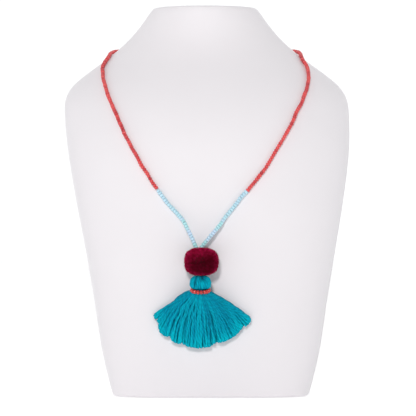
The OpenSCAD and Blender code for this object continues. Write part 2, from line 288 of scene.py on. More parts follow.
class Line:
    """A line of points that is walked by distance."""

    def __init__(self, points):
        self.points = points
        self.miles = [0.0]
        for a, b in zip(points, points[1:]):
            self.miles.append(self.miles[-1] + (b - a).length)
        self.length = self.miles[-1]

    def at(self, distance):
        """The place at a distance from the start."""
        low, high = 0, len(self.points) - 2
        while low < high:
            middle = (low + high + 1) // 2
            if self.miles[middle] <= distance:
                low = middle
            else:
                high = middle - 1
        share = (distance - self.miles[low]) / (self.miles[low + 1] - self.miles[low])
        return self.points[low].lerp(self.points[low + 1], share)

    def along(self, distance, reach=0.8 * MM):
        """The line's direction at a distance from the start."""
        before, after = max(distance - reach, 0), min(distance + reach, self.length)
        return (self.at(after) - self.at(before)).normalized()


def let_down(points, side):
    """The line with a slight sway, lowered onto the bust wherever it lies there."""
    settled = []
    for i, point in enumerate(points):
        spot, up, _, height = skin.find_nearest(point)
        free = min(max((height - LYING) / (HANGING - LYING), 0), 1)
        along = points[min(i + 1, len(points) - 1)] - points[max(i - 1, 0)]
        way = i * LINE_STEP
        sway = noise.noise(Vector((way / SWAY_L, side * 5, 0))) * SWAY * min(1, way / SWAY_FROM)
        point = point + along.cross(up).normalized() * sway
        spot, up, _, _ = skin.find_nearest(point)
        settled.append(point.lerp(spot + up * (BEAD_R + REST), 1 - free))
    return settled


def tube(name, lines, radius):
    """Round tubes along lines of points, as one mesh."""
    curve = bpy.data.curves.new(name, "CURVE")
    curve.dimensions = "3D"
    curve.bevel_depth = radius
    curve.bevel_resolution = 2
    curve.use_fill_caps = True
    for points in lines:
        spline = curve.splines.new("POLY")
        spline.points.add(len(points) - 1)
        for spot, point in zip(spline.points, points):
            spot.co = (*point, 1)
    piece = bpy.data.objects.new(name, curve)
    bpy.context.collection.objects.link(piece)
    only(piece)
    bpy.ops.object.convert(target="MESH")
    bpy.ops.object.shade_smooth()
    return bpy.context.object


def thread_material(name, colour, roughness):
    """Smooth thread with a fine twist."""
    material = new_material(name, colour, roughness)
    dent(material, 2500, 0.05 * MM)
    return material


skin = BVHTree.FromObject(bust, bpy.context.evaluated_depsgraph_get())
clasp_low, clasp_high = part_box("clasp")
clasp_middle = (clasp_low + clasp_high) / 2
ring_low, ring_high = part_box("bead_ring")
ring_middle = (ring_low + ring_high) / 2
pompom_low, pompom_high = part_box("pompom")
pompom_middle = (pompom_low + pompom_high) / 2
strings, blue_starts, thread_lines = {}, {}, []
for side in (-1, 1):
    red = ring_middles("red_beads", side, clasp_middle.x, lambda p: abs(p.x - clasp_middle.x) - p.y)
    blue = ring_middles("blue_beads", side, ring_middle.x + ENDS_SHIFT, lambda p: -p.z)
    last_way = (blue[-1] - blue[-2]).normalized()
    whole = smooth_line(red + blue + [blue[-1] + last_way * INTO_POMPOM])
    strings[side] = Line(let_down(whole, side))
    red_share = Line(smooth_line(red)).length + (blue[0] - red[-1]).length / 2
    blue_starts[side] = red_share * strings[side].length / Line(whole).length + BLUE_LATER[side]
    into_clasp = clasp_middle + Vector((side * INTO_CLASP, 0, 0))
    last = strings[side].points[-1]
    thread_lines.append([into_clasp] + strings[side].points[::3] + [last, last.lerp(pompom_middle, 0.4)])
thread = tube("bead_thread", thread_lines, THREAD_R)
wear(thread, thread_material("thread_nylon", THREAD_WHITE, 0.45), "bust_shell")

# Red beads
# Opaque red glass seed beads of 3 mm, cut from a drawn glass tube and tumbled,
# so each is a short ring with rounded rims that differs a little from the next
# in length, width and tone. They are threaded close, with their holes in line.
RED_SEED = 11
HOLE_R = 0.5 * MM
BEAD_L = 2.1 * MM
RIM = 0.6 * MM
BEAD_SIDES = 12
FIRST_BEAD = 2.2 * MM
# Share of its length after which a bead is followed by the next
CLOSE = 0.985
RED_GLASS = (0.90, 0.105, 0.105)
RED_DEEP = (0.56, 0.035, 0.05)


def seed_bead(name, radius, hole, length):
    """The mesh of one bead: a flat wall beside the hole, its outer corners rounded, spun about Z."""
    wall = radius - hole
    bpy.ops.object.select_all(action="DESELECT")
    bpy.ops.mesh.primitive_plane_add(
        size=1, location=(hole + wall / 2, 0, 0), rotation=(math.radians(90), 0, 0)
    )
    bead = bpy.context.object
    bead.data.name = name
    bead.scale = (wall, length, 1)
    bpy.ops.object.transform_apply(location=True, rotation=True, scale=True)
    bpy.ops.object.mode_set(mode="EDIT")
    bpy.ops.mesh.select_all(action="DESELECT")
    bpy.ops.object.mode_set(mode="OBJECT")
    for v in bead.data.vertices:
        v.select = v.co.x > hole + wall / 2
    bpy.ops.object.mode_set(mode="EDIT")
    bpy.ops.mesh.bevel(affect="VERTICES", offset=min(RIM, 0.45 * length), segments=1)
    bpy.ops.mesh.select_all(action="SELECT")
    bpy.ops.mesh.delete(type="ONLY_FACE")
    bpy.ops.mesh.select_all(action="SELECT")
    bpy.ops.mesh.spin(steps=BEAD_SIDES, angle=2 * math.pi, center=(0, 0, 0), axis=(0, 0, 1))
    bpy.ops.mesh.select_all(action="SELECT")
    bpy.ops.mesh.remove_doubles(threshold=WELD)
    bpy.ops.mesh.normals_make_consistent(inside=False)
    bpy.ops.object.mode_set(mode="OBJECT")
    mesh = bead.data
    bpy.data.objects.remove(bead)
    # Painted shade at the ends of each bead, where it meets the next: its depth mark rises from 0.3 at the
    # ends to 1 a little way in
    from_end = [0.5 - abs(v.co.z) / length for v in mesh.vertices]
    mark(mesh, "depth", [min(1, 0.3 + 2.2 * share) for share in from_end])
    return mesh


def mark(mesh, name, values):
    """Keeps a number for each point of a mesh, which its material reads."""
    mesh.attributes.new(name, "FLOAT", "POINT").data.foreach_set("value", values)


def smooth_piece(name, points, faces, shade_marks, tones):
    """A smooth piece that keeps its depth mark, which sets its painted shade, and its tone at each point.
    """
    mesh = bpy.data.meshes.new(name)
    mesh.from_pydata(points, [], faces)
    mark(mesh, "depth", shade_marks)
    mark(mesh, "tone", tones)
    piece = bpy.data.objects.new(name, mesh)
    bpy.context.collection.objects.link(piece)
    only(piece)
    bpy.ops.object.shade_smooth()
    return piece


def copies(name, rows):
    """One piece made of copies. A row is the mesh that is copied, its place and its tone."""
    points, faces, shade_marks, tones = [], [], [], []
    for mesh, place, tone in rows:
        first = len(points)
        points += [place @ v.co for v in mesh.vertices]
        faces += [[first + k for k in face.vertices] for face in mesh.polygons]
        shade_marks += [spot.value for spot in mesh.attributes["depth"].data]
        tones += [tone] * len(mesh.vertices)
    return smooth_piece(name, points, faces, shade_marks, tones)


def towards(way):
    """The turn that points Z in a direction."""
    return way.to_track_quat("Z", "Y").to_matrix().to_4x4()


def threaded(bead, line, start, end, seed, length, tones):
    """Beads close together along a line, each a little longer, wider or more askew than the next."""
    draw = random.Random(seed)
    rows, at = [], start
    while at < end - 0.6 * length:
        own = length * draw.uniform(0.9, 1.1)
        width = draw.uniform(0.91, 1.04)
        turn = towards(line.along(at + own / 2))
        askew = Matrix.Rotation(draw.gauss(0, math.radians(6)), 4, "X")
        roll = Matrix.Rotation(draw.uniform(0, 2 * math.pi), 4, "Z")
        size = Matrix.Diagonal((width, width, own / length, 1))
        place = Matrix.Translation(line.at(at + own / 2)) @ turn @ roll @ askew @ size
        rows.append((bead, place, tones(draw)))
        at += own * CLOSE
    return rows


def glass_group():
    """Shader group of bead glass: a tone for each bead, cloudy streaks in it, and painted shade at the
    rims, where the beads meet.
    """
    group, given, put = new_group(
        "bead_glass",
        {"Colour": "NodeSocketColor", "Other colour": "NodeSocketColor", "Gloss": "NodeSocketFloat"},
        {"Colour": "NodeSocketColor", "Roughness": "NodeSocketFloat"},
    )
    tone = add(group, "ShaderNodeAttribute", attribute_name="tone").outputs["Fac"]
    rim = add(group, "ShaderNodeAttribute", attribute_name="depth").outputs["Fac"]
    place = add(group, "ShaderNodeTexCoord").outputs["Object"]
    streaks = add(group, "ShaderNodeTexNoise", {"Vector": place, "Scale": 900, "Detail": 3}).outputs["Fac"]
    share = add(group, "ShaderNodeMath", {0: streaks, 1: 0.3, 2: tone}, operation="MULTIPLY_ADD")
    blend = mixed(group, share.outputs["Value"], given["Colour"], given["Other colour"])
    # Painted shade: the colour is darkened where the depth mark is low, at the bead's ends
    shade = add(group, "ShaderNodeMapRange", {"Value": rim, "To Min": 0.68}).outputs["Result"]
    rub = add(group, "ShaderNodeMath", {0: streaks, 1: 0.2, 2: given["Gloss"]}, operation="MULTIPLY_ADD")
    darker = mixed(group, 1, blend, shade, blend_type="MULTIPLY")
    feed(group, put, {"Colour": darker, "Roughness": rub.outputs["Value"]})
    return group


bead_glass = glass_group()


def glass(name, colour, other, gloss):
    """Opaque glass of beads whose tones lie between two colours."""
    material = new_material(name, colour, gloss)
    inputs = {"Colour": (*colour, 1), "Other colour": (*other, 1), "Gloss": gloss}
    look = add(material.node_tree, "ShaderNodeGroup", inputs, node_tree=bead_glass).outputs
    surface(material, {"Base Color": look["Colour"], "Roughness": look["Roughness"], "IOR": 1.52})
    return material


red_bead = seed_bead("red_seed_bead", BEAD_R, HOLE_R, BEAD_L)
rows = []
for side in (-1, 1):
    rows += threaded(
        red_bead, strings[side], FIRST_BEAD, blue_starts[side], RED_SEED + side, BEAD_L,
        lambda draw: max(0, min(draw.gauss(0.15, 0.35), 0.95)),
    )
red_beads = copies("red_seed_beads", rows)
wear(red_beads, glass("red_glass", RED_GLASS, RED_DEEP, 0.12), "red_glass", "red_beads")

# Pale blue beads
# Slightly thicker beads in pale blue and in pale turquoise glass, in short
# stretches as they came, along the lowest part of both strings to the pompom.
BLUE_SEED = 5
BLUE_R = 1.65 * MM
BLUE_L = 2.2 * MM
PALE_BLUE = (0.62, 0.80, 1.0)
PALE_TURQUOISE = (0.44, 0.84, 0.86)
# How often a new tint begins, and the tint of the first beads
CHANGE = 0.35
FIRST_TINT = 0.2
blue_bead = seed_bead("blue_seed_bead", BLUE_R, HOLE_R, BLUE_L)
rows = []
for side in (-1, 1):
    mix = random.Random(BLUE_SEED * side)
    tints = [FIRST_TINT]

    def blue_tone(draw):
        """The last bead's tint again, or now and then another one."""
        if mix.random() < CHANGE:
            tints.append(mix.uniform(-0.1, 0.8))
        return tints[-1]

    line = strings[side]
    rows += threaded(blue_bead, line, blue_starts[side], line.length, BLUE_SEED + side, BLUE_L, blue_tone)
blue_beads = copies("pale_blue_seed_beads", rows)
wear(blue_beads, glass("blue_glass", PALE_BLUE, PALE_TURQUOISE, 0.15), "blue_glass", "blue_beads")

# Clasp
# A silver plated barrel clasp at the nape, whose two halves screw together at
# the middle. A crimp bead beside each end grips the thread.
CLASP_R = (clasp_high.z - clasp_low.z) / 2
CLASP_L = clasp_high.x - clasp_low.x
CLASP_SIDES = 32
# Half of the barrel's outline, with the way from its middle and the radius as shares
BARREL = [
    (0.0, 0.86), (0.05, 0.86), (0.08, 0.97), (0.5, 1.0), (0.72, 0.98), (0.86, 0.84), (0.95, 0.55),
    (1.0, 0.3),
]
CRIMP_R = 1.05 * MM
CRIMP_HOLE = 0.4 * MM
CRIMP_L = 1.6 * MM
CRIMP_AT = 1.1 * MM
SILVER = (0.72, 0.71, 0.70)
outline = [(-w, r) for w, r in reversed(BARREL[1:])] + BARREL
mesh = bpy.data.meshes.new("barrel_clasp")
spots = [(w * CLASP_L / 2, 0, r * CLASP_R) for w, r in outline]
mesh.from_pydata(spots, [(i, i + 1) for i in range(len(spots) - 1)], [])
barrel = bpy.data.objects.new("barrel_clasp", mesh)
bpy.context.collection.objects.link(barrel)
only(barrel)
bpy.ops.object.mode_set(mode="EDIT")
bpy.ops.mesh.select_all(action="SELECT")
bpy.ops.mesh.spin(steps=CLASP_SIDES, angle=2 * math.pi, center=(0, 0, 0), axis=(1, 0, 0))
bpy.ops.mesh.select_all(action="SELECT")
bpy.ops.mesh.remove_doubles(threshold=WELD)
bpy.ops.mesh.select_non_manifold()
bpy.ops.mesh.edge_face_add()
bpy.ops.mesh.select_all(action="SELECT")
bpy.ops.mesh.normals_make_consistent(inside=False)
bpy.ops.transform.translate(value=clasp_middle)
bpy.ops.object.mode_set(mode="OBJECT")
bpy.ops.object.shade_smooth()
crimp = seed_bead("crimp_bead", CRIMP_R, CRIMP_HOLE, CRIMP_L)
rows = []
for side in (-1, 1):
    place = Matrix.Translation(strings[side].at(CRIMP_AT)) @ towards(strings[side].along(0))
    rows.append((crimp, place, 0.5))
crimps = copies("crimp_beads", rows)
clasp_silver = new_material("clasp_silver", SILVER, 0.28, metallic=1)
tree = clasp_silver.node_tree
rubs = {"Value": unevenness(tree, 700, 5), "To Min": 0.18, "To Max": 0.42}
surface(clasp_silver, {"Roughness": add(tree, "ShaderNodeMapRange", rubs).outputs["Result"]})
wear(barrel, clasp_silver, "clasp_metal", "clasp")
wear(crimps, clasp_silver, "clasp_metal")

# Pompom
# A ball of wine red acrylic yarn, tied tight round its middle, cut open and
# trimmed. Every cut yarn end is a tuft of fibres that spreads a little, leans on
# its neighbours and stands out a bit more or less. Painted shade darkens it deep
# between the tufts and towards the middle of the ball.
PILE_SEED = 3
TUFTS = 2200
TUFT_KINDS = 4
TUFT_FIBRES = 16
TUFT_R = 0.42 * MM
# How far a fibre leans out, for each metre that its root is from the tuft's middle
TUFT_SPREAD = 170
PILE_L = 4.2 * MM
FIBRE_R = 0.16 * MM
# How finely the noise changes, for each metre: in the tufts' lean, height and clumps
LEAN_NOISE = 300
HEIGHT_NOISE = 250
CLUMP_NOISE = 520
GOLDEN_TURN = math.pi * (3 - math.sqrt(5))
# The ball's half sizes, and a power over 2, which makes it a little boxy
POMPOM_HALF = Vector((13.1, 12, 10.5)) * MM
POMPOM_POWER = 2.7
POMPOM_SHIFT = Vector((-0.2, 0, -0.15)) * MM
CORE_IN = 2.2 * MM
WINE = (0.33, 0.0, 0.027)
WINE_LIGHT = (0.88, 0.02, 0.14)
# Colour of the painted shade at the roots of the tufts, and of the dark core
WINE_DEPTH_SHADE = (0.06, 0.0, 0.005)
# Colour that the middle of the pile is darkened towards, as painted shade
WINE_SHADE = (0.09, 0.0, 0.007)
# How fine its fibres are, for each metre
WINE_GRAIN = (1500, 1500, 1500)
# The place that the pile's painted shade gathers round, from the ball's middle,
# so that it is darker below and to the right
DARK_SHIFT = Vector((1.8, 0, -3.9)) * MM

pompom_middle += POMPOM_SHIFT


def pompom_reach(way):
    """Distance from the pompom's middle to its surface in a direction."""
    total = sum(abs(way[i] / POMPOM_HALF[i]) ** POMPOM_POWER for i in range(3))
    return total ** (-1 / POMPOM_POWER)


def ball_way(i, count):
    """Direction i of many that are spread evenly over a ball."""
    up = 1 - (2 * i + 1) / count
    flat = math.sqrt(1 - up * up)
    return Vector((flat * math.cos(i * GOLDEN_TURN), flat * math.sin(i * GOLDEN_TURN), up))


def scatter(draw, spread):
    """A small random step, drawn for X, Y and Z in turn."""
    return Vector([draw.gauss(0, spread) for _ in range(3)])


draw = random.Random(PILE_SEED)
# Unseeded, the noise that has a direction differs from run to run
noise.seed_set(PILE_SEED)
bpy.ops.object.select_all(action="DESELECT")
bpy.ops.mesh.primitive_cone_add(
    vertices=3, radius1=FIBRE_R, radius2=0, depth=PILE_L, end_fill_type="NOTHING",
    location=(0, 0, PILE_L / 2),
)
bpy.ops.object.transform_apply(location=True, rotation=False, scale=False)
fibre = bpy.context.object
# Painted shade deep in the pile: the depth mark rises from 0 at a fibre's root to 1 at its tip
mark(fibre.data, "depth", [v.co.z / PILE_L for v in fibre.data.vertices])
tufts = []
for kind in range(TUFT_KINDS):
    rows = []
    for i in range(TUFT_FIBRES):
        turn = i * GOLDEN_TURN
        wide = math.sqrt((i + 0.5) / TUFT_FIBRES)
        root = Vector((math.cos(turn), math.sin(turn), 0)) * wide * TUFT_R
        lean_x = root.x * TUFT_SPREAD + draw.gauss(0, 0.06)
        lean_y = root.y * TUFT_SPREAD + draw.gauss(0, 0.06)
        tall = Matrix.Diagonal((1, 1, (1.03 - 0.08 * wide * wide) * draw.uniform(0.93, 1.06), 1))
        lean = towards(Vector((lean_x, lean_y, 1)).normalized())
        rows.append((fibre.data, Matrix.Translation(root) @ lean @ tall, 0.5))
    tufts.append(copies(f"tuft_{kind}", rows))
rows = []
for i in range(TUFTS):
    way = (ball_way(i, TUFTS) + scatter(draw, 0.018)).normalized()
    spot = way * pompom_reach(way)
    out = Vector([spot[k] / POMPOM_HALF[k] ** 2 for k in range(3)]).normalized()
    lean = (out + noise.noise_vector(spot * LEAN_NOISE) * 0.15 + scatter(draw, 0.1)).normalized()
    clump = noise.noise(spot * CLUMP_NOISE)
    tall = 1 + 0.05 * noise.noise(spot * HEIGHT_NOISE) + 0.07 * clump + draw.gauss(0, 0.05)
    wide = draw.uniform(0.85, 1.2)
    place = (
        Matrix.Translation(pompom_middle + spot - out * PILE_L)
        @ towards(lean)
        @ Matrix.Rotation(draw.uniform(0, 2 * math.pi), 4, "Z")
        @ Matrix.Diagonal((wide, wide, tall, 1))
    )
    rows.append((draw.choice(tufts).data, place, min(max(draw.gauss(0.3, 0.3) + 1.3 * clump, 0), 1)))
pile = copies("pompom_pile", rows)
for piece in [fibre] + tufts:
    bpy.data.objects.remove(piece)

# A dark core inside the pile, painted shade that shows between the tufts
bpy.ops.mesh.primitive_uv_sphere_add(segments=48, ring_count=24, radius=1)
core = bpy.context.object
core.name = core.data.name = "pompom_core"
for v in core.data.vertices:
    way = v.co.normalized()
    v.co = pompom_middle + way * (pompom_reach(way) - CORE_IN)
bpy.ops.object.shade_smooth()


def yarn_group():
    """Shader group of yarn: painted shade where its depth mark is low, a tone for each strand or tuft, and
    fine fibres along it.
    """
    takes = {name: "NodeSocketColor" for name in ("Colour", "Light colour", "Painted shade colour")}
    takes["Place"] = "NodeSocketVector"
    group, given, put = new_group("yarn", takes, {"Colour": "NodeSocketColor", "Fibres": "NodeSocketFloat"})
    tone = add(group, "ShaderNodeAttribute", attribute_name="tone").outputs["Fac"]
    depth = add(group, "ShaderNodeAttribute", attribute_name="depth").outputs["Fac"]
    lay = {"Vector": given["Place"], "Scale": 1, "Detail": 3}
    fibres = add(group, "ShaderNodeTexNoise", lay).outputs["Fac"]
    shade = add(group, "ShaderNodeMath", {0: fibres, 1: 0.6, 2: tone}, operation="MULTIPLY_ADD")
    level = add(group, "ShaderNodeMath", {0: shade.outputs["Value"], 1: 0.3}, operation="SUBTRACT")
    dye = mixed(group, level.outputs["Value"], given["Colour"], given["Light colour"])
    feed(group, put, {"Colour": mixed(group, depth, given["Painted shade colour"], dye), "Fibres": fibres})
    return group


yarn_look = yarn_group()


def yarn(name, colour, light, deep, grain, sheen, follows="Object"):
    """Soft yarn. Its fibres lie evenly, or along the strand where they follow its UV map."""
    material = new_material(name, colour, 0.9)
    tree = material.node_tree
    place = add(tree, "ShaderNodeTexCoord").outputs[follows]
    lay = add(tree, "ShaderNodeMapping", {"Vector": place, "Scale": grain})
    inputs = {"Colour": (*colour, 1), "Light colour": (*light, 1), "Painted shade colour": (*deep, 1)}
    inputs["Place"] = lay.outputs["Vector"]
    look = add(tree, "ShaderNodeGroup", inputs, node_tree=yarn_look, name="look").outputs
    raised = {"Height": look["Fibres"], "Distance": 0.15 * MM, "Strength": 0.6}
    dents = add(tree, "ShaderNodeBump", raised, name="dents")
    surface(material, {"Base Color": look["Colour"], "Normal": dents.outputs["Normal"]})
    surface(material, {"Sheen Weight": sheen, "Sheen Roughness": 0.4, "Sheen Tint": (*light, 1)})
    surface(material, {"Specular IOR Level": 0.08})
    return material


def painted_shade_core(name, colour):
    """A dark inside for a ball of yarn, painted shade where no light reaches between the strands."""
    material = new_material(name, colour, 0.95)
    dent(material, 1200, 0.2 * MM)
    return material


wine_yarn = yarn("wine_yarn", WINE, WINE_LIGHT, WINE_DEPTH_SHADE, WINE_GRAIN, 0.3)
# Painted shade: the pile is darkened where its ends point at the eye, most round a
# place below and to the right of its middle, and keeps its own colour round the rim,
# where its sides show
tree = wine_yarn.node_tree
place = add(tree, "ShaderNodeTexCoord").outputs["Object"]
dark_middle = pompom_middle + DARK_SHIFT
steepness = [1 / (half * half) for half in POMPOM_HALF]
off = add(tree, "ShaderNodeVectorMath", {0: place, 1: dark_middle}, operation="SUBTRACT").outputs["Vector"]
out = add(tree, "ShaderNodeVectorMath", {0: off, 1: steepness}, operation="MULTIPLY").outputs["Vector"]
out = add(tree, "ShaderNodeVectorMath", {0: out}, operation="NORMALIZE").outputs["Vector"]
rim = add(tree, "ShaderNodeLayerWeight", {"Normal": out, "Blend": 0.5}).outputs["Facing"]
rise = {"Value": rim, "From Min": 0.2, "From Max": 0.52, "To Min": 0.22}
light_rim = add(tree, "ShaderNodeMapRange", rise).outputs["Result"]
shaded = mixed(tree, light_rim, (*WINE_SHADE, 1), tree.nodes["look"].outputs["Colour"])
surface(wine_yarn, {"Base Color": shaded})
wear(pile, wine_yarn, "wine_yarn", "pompom")
wear(core, painted_shade_core("wine_core", WINE_DEPTH_SHADE), "wine_yarn")

# Tassel's head
# Soft turquoise cotton yarn of two plies is folded in half over the hanging
# thread. Its strands run from the crown down over a round head to the tied
# neck, side by side, with a deeper groove here and there.
HEAD_SEED = 21
TEAL = (0.0, 0.265, 0.425)
TEAL_LIGHT = (0.0, 0.52, 0.65)
# Colour of the painted shade deep among the strands, and of the head's core
TEAL_DEPTH_SHADE = (0.0, 0.045, 0.11)
# How fine its fibres are, round the strand and along it
TEAL_GRAIN = (9, 5, 1)
HEAD_STRANDS = 38
HEAD_W = 16.2 * MM
HEAD_DEEP = HEAD_W * 0.86
HEAD_H = 8.6 * MM
CROWN_UP = 0.8 * MM
NECK_R = 4.6 * MM
RING_TILT = math.radians(12)
STRAND_R = 0.76 * MM
# Radius of the head's strands where they are tied, and by how much they swell between
TIED_R = 0.5 * MM
SWELL = 0.42 * MM
STRAND_SIDES = 8
STRAND_ROWS = 30
TWIST_STEP = math.radians(30)
# The plies of the yarn: how much they stand out and how dark the painted shade in
# the grooves between them is, as shares, and the length of yarn in which they turn
# round it once
PLIES = 2
PLY = 0.1
PLY_DARK = 0.74
PLY_TURN = 8 * MM
# A diagonal wave texture goes on by this many radians for each unit of its place
WAVE_SPEED = 10
# How far inside the head its dark core, painted shade seen between the strands,
# stays across and upright, and how much lower it sits
CORE_ACROSS = 1.4 * MM
CORE_UPRIGHT = 0.9 * MM
CORE_LOWER = 0.3 * MM
# Where strands lie deeper and are darkened with painted shade: the turn from the
# right, how far it reaches to each side, the depth, and the part of the way from the
# crown down to the neck
HEAD_FOLDS = [
    (math.radians(-121), math.radians(9), 1.4 * MM, 0.15, 0.75),
    (math.radians(-74), math.radians(26), 1.5 * MM, 0.0, 0.42),
    (math.radians(40), math.radians(10), 0.7 * MM, 0.1, 0.9),
]
# Outline of the head from its crown down: the height and the radius as shares
HEAD_ROWS = [
    (0.14, 0.08), (0.04, 0.26), (0.0, 0.42), (0.04, 0.6), (0.14, 0.78), (0.3, 0.91), (0.5, 0.98),
    (0.72, 1.0), (0.9, 0.98), (1.01, 0.88), (1.12, 0.64), (1.3, 0.52),
]
head_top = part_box("tassel")[1].z + CROWN_UP
axis_x, axis_y = ring_middle.x, ring_middle.y

# One straight strand with a row to each unit of height: a round of unit radius
# with a soft lobe for each ply, drawn up row by row with a steady twist
bpy.ops.object.select_all(action="DESELECT")
bpy.ops.mesh.primitive_circle_add(vertices=STRAND_SIDES, radius=1, fill_type="NGON")
straight = bpy.context.object
straight.name = straight.data.name = "straight_strand"
for v in straight.data.vertices:
    v.co *= 1 + PLY * math.cos(PLIES * math.atan2(v.co.y, v.co.x))
bpy.ops.object.mode_set(mode="EDIT")
bpy.ops.mesh.select_all(action="SELECT")
for row in range(1, STRAND_ROWS):
    bpy.ops.mesh.extrude_region_move(TRANSFORM_OT_translate={"value": (0, 0, 1)})
    bpy.ops.transform.rotate(value=TWIST_STEP, orient_axis="Z", center_override=(0, 0, row))
bpy.ops.mesh.select_all(action="SELECT")
bpy.ops.mesh.normals_make_consistent(inside=False)
bpy.ops.object.mode_set(mode="OBJECT")


def strands(name, rows):
    """One piece of yarn strands, each a copy of the straight one laid along its line.

    A row is the strand's points, radii, depth marks of painted shade and tones, one to each of its
    rows, and the direction of the side that lies free. The other side is marked darker, as painted
    shade. The map runs round the strand and along it, and starts elsewhere on each, so that no
    grooves are in step.
    """
    mesh = straight.data
    rings = [round(v.co.z) for v in mesh.vertices]
    turns = [math.atan2(v.co.y, v.co.x) / (2 * math.pi) % 1 for v in mesh.vertices]
    loops = [list(face.vertices) for face in mesh.polygons]
    points, faces, maps, shade_marks, tones = [], [], [], [], []
    for number, (line, radii, line_shade_marks, line_tones, free) in enumerate(rows):
        first = len(points)
        miles = Line(line).miles
        across, frames = line[1].cross(line[0]), []
        for i in range(STRAND_ROWS):
            along = (line[min(i + 1, STRAND_ROWS - 1)] - line[max(i - 1, 0)]).normalized()
            across = (across - along * across.dot(along)).normalized()
            frames.append((across, along.cross(across)))
        for v, ring in zip(mesh.vertices, rings):
            one, two = frames[ring]
            out = v.co.x * one + v.co.y * two
            points.append(line[ring] + radii[ring] * out)
            shade_marks.append(line_shade_marks[ring] * (0.65 + 0.35 * out.dot(free)))
            tones.append(line_tones[ring])
        for loop in loops:
            faces.append([first + k for k in loop])
            start = turns[loop[0]]
            for k in loop:
                wrapped = (turns[k] - start + 0.5) % 1 + start - 0.5
                maps += [wrapped, miles[rings[k]] / PLY_TURN + number * math.e]
    piece = smooth_piece(name, points, faces, shade_marks, tones)
    piece.data.uv_layers.new(name="strand_map").data.foreach_set("uv", maps)
    return piece


def fold_depth(turn, share):
    """How deep a strand of the head lies in a fold, at a turn and a share of the way down."""
    deep = 0
    for middle, half, depth, above, below in HEAD_FOLDS:
        off = abs((turn - middle + math.pi) % (2 * math.pi) - math.pi) / half
        if off < 1 and above <= share <= below:
            run = (share - above + 0.1) / (below - above + 0.2)
            deep += depth * (1 - off * off) * math.sin(math.pi * run)
    return deep


def plied(material):
    """Adds the slanting grooves between the plies, as bumps and painted shade, to yarn that follows the
    strands' map.
    """
    tree = material.node_tree
    look = tree.nodes["look"].outputs
    place = add(tree, "ShaderNodeTexCoord").outputs["UV"]
    pace = 2 * math.pi * PLIES / WAVE_SPEED
    slant = add(tree, "ShaderNodeMapping", {"Vector": place, "Scale": (pace, pace, 0)}).outputs["Vector"]
    wave = add(tree, "ShaderNodeTexWave", {"Vector": slant, "Scale": 1}, bands_direction="DIAGONAL")
    rise = {"Value": wave.outputs["Fac"], "From Max": 0.6, "To Min": PLY_DARK}
    grooves = add(tree, "ShaderNodeMapRange", rise).outputs["Result"]
    shaded = add(tree, "ShaderNodeVectorMath", {0: look["Colour"], "Scale": grooves}, operation="SCALE")
    raised = add(tree, "ShaderNodeMath", {0: look["Fibres"], 1: 0.5, 2: grooves}, operation="MULTIPLY_ADD")
    feed(tree, tree.nodes["dents"], {"Height": raised.outputs["Value"]})
    surface(material, {"Base Color": shaded.outputs["Vector"]})
    return material


draw = random.Random(HEAD_SEED)
rows = []
for i in range(HEAD_STRANDS):
    turn = -math.pi + 2 * math.pi * (i + draw.uniform(-0.15, 0.15)) / HEAD_STRANDS
    sink = draw.uniform(-0.08, 0.1) * MM
    outline = []
    for share, wide in HEAD_ROWS:
        low = sink + fold_depth(turn, share)
        x = (wide * (HEAD_W / 2 - STRAND_R) - low) * math.cos(turn)
        y = (wide * (HEAD_DEEP / 2 - STRAND_R) - low) * math.sin(turn)
        outline.append(Vector((axis_x + x, axis_y + y, head_top - STRAND_R - share * (HEAD_H - STRAND_R))))
        outline[-1].z += y * math.tan(RING_TILT) * min(share, 1) - low * max(0, 0.4 - share)
    path = Line(smooth_line(outline))
    line = [path.at(path.length * k / (STRAND_ROWS - 1)) for k in range(STRAND_ROWS)]
    sway = draw.uniform(-0.4, 0.4) * MM
    radii, shade_marks = [], []
    for k, point in enumerate(line):
        t = k / (STRAND_ROWS - 1)
        point += Vector((-math.sin(turn), math.cos(turn), 0)) * sway * math.sin(math.pi * t)
        swell = math.sin(math.pi * min(t * 1.1, 1))
        radii.append(TIED_R + SWELL * swell)
        # Painted shade: darker where the strands are tied at the crown and at the neck, and in the folds
        shade_marks.append(0.3 + 0.7 * min(1, 1.8 * swell) * (1 - min(1, fold_depth(turn, t) / MM)))
    free = Vector((math.cos(turn), math.sin(turn), 0))
    rows.append((line, radii, shade_marks, [draw.uniform(0.3, 0.75)] * STRAND_ROWS, free))
head = strands("tassel_head", rows)

bpy.ops.object.select_all(action="DESELECT")
bpy.ops.mesh.primitive_uv_sphere_add(segments=32, ring_count=16, radius=1)
head_core = bpy.context.object
head_core.name = head_core.data.name = "tassel_head_core"
bpy.ops.object.mode_set(mode="EDIT")
bpy.ops.mesh.select_all(action="SELECT")
bpy.ops.transform.resize(
    value=(HEAD_W / 2 - CORE_ACROSS, HEAD_DEEP / 2 - CORE_ACROSS, HEAD_H / 2 - CORE_UPRIGHT)
)
bpy.ops.transform.translate(value=(axis_x, axis_y, head_top - HEAD_H / 2 - CORE_LOWER))
bpy.ops.object.mode_set(mode="OBJECT")
bpy.ops.object.shade_smooth()
teal_yarn = plied(yarn("teal_yarn", TEAL, TEAL_LIGHT, TEAL_DEPTH_SHADE, TEAL_GRAIN, 0.15, follows="UV"))
wear(head, teal_yarn, "teal_yarn", "tassel")
# The head's core is dark with painted shade, which shows between its strands
wear(head_core, painted_shade_core("teal_core", TEAL_DEPTH_SHADE), "teal_yarn")

# Tassel's skirt
# Below the neck the same strands spread into a fan that lies against the chest,
# several deep. Neighbours wave together, hang in locks and are cut to one length
# with blunt, slightly open ends.
SKIRT_SEED = 8
LAYERS = 5
LAYER_STRANDS = 64
# Depth at the neck of each strand in four, which lie side by side only lower down
TUCKED = (0, 0.6 * MM, 0.3 * MM, 0.8 * MM)
